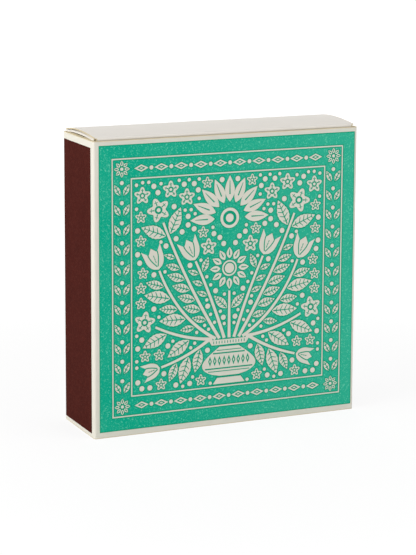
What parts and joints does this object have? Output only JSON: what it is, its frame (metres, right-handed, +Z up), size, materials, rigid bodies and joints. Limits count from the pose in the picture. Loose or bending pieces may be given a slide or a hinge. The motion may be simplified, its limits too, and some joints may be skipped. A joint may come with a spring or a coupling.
{
  "type": "matchbox",
  "caption": "Large square sliding matchbox of folded card for long matches, with a printed front, two striking sides and a tray of matches, stood on its end.",
  "frame": {"origin": "middle of the sleeve's lower end, where the box stands", "axes": "+Z up along the tray's travel, -Y out of the printed front, +X to the right as seen from the front"},
  "size_m": [0.107, 0.031, 0.1122],
  "materials": {
    "sleeve_card": "matt off-white board, faint fibre, cream at the cut edges",
    "tray_card": "matt off-white board, slightly greyer than the sleeve, pale cream where cut",
    "print_ink": "one green ink, matt, with fine paler speckle where the card shows through",
    "striker_coat": "dark red-brown striking coat, matt and finely gritty",
    "match_wood": "bare aspen splints, straight grain, unvarnished",
    "match_head": "dry red-brown dipped composition, matt and slightly grainy"
  },
  "bodies": {
    "sleeve": {"sleeve": "sleeve_card", "front_print": "print_ink", "left_striker": "striker_coat", "right_striker": "striker_coat"},
    "tray": {"tray": "tray_card", "rear_matches": "match_wood", "match_stick_01": "match_wood", "match_stick_02": "match_wood", "match_stick_03": "match_wood", "match_stick_04": "match_wood", "match_stick_05": "match_wood", "match_stick_06": "match_wood", "match_stick_07": "match_wood", "match_stick_08": "match_wood", "match_stick_09": "match_wood", "match_stick_10": "match_wood", "match_stick_11": "match_wood", "match_stick_12": "match_wood", "match_stick_13": "match_wood", "match_stick_14": "match_wood", "match_stick_15": "match_wood", "match_stick_16": "match_wood", "match_stick_17": "match_wood", "match_stick_18": "match_wood", "match_stick_19": "match_wood", "match_stick_20": "match_wood", "match_stick_21": "match_wood", "match_stick_22": "match_wood", "match_stick_23": "match_wood", "match_stick_24": "match_wood", "match_stick_25": "match_wood", "match_stick_26": "match_wood", "match_stick_27": "match_wood", "match_head_01": "match_head", "match_head_02": "match_head", "match_head_03": "match_head", "match_head_04": "match_head", "match_head_05": "match_head", "match_head_06": "match_head", "match_head_07": "match_head", "match_head_08": "match_head", "match_head_09": "match_head", "match_head_10": "match_head", "match_head_11": "match_head", "match_head_12": "match_head", "match_head_13": "match_head", "match_head_14": "match_head", "match_head_15": "match_head", "match_head_16": "match_head", "match_head_17": "match_head", "match_head_18": "match_head", "match_head_19": "match_head", "match_head_20": "match_head", "match_head_21": "match_head", "match_head_22": "match_head", "match_head_23": "match_head", "match_head_24": "match_head", "match_head_25": "match_head", "match_head_26": "match_head", "match_head_27": "match_head"}
  },
  "joints": [
    {"name": "tray_slide", "type": "slide", "parent": "sleeve", "child": "tray", "axis": [0, 0, 1], "range_m": [-0.106, 0.106]}
  ]
}
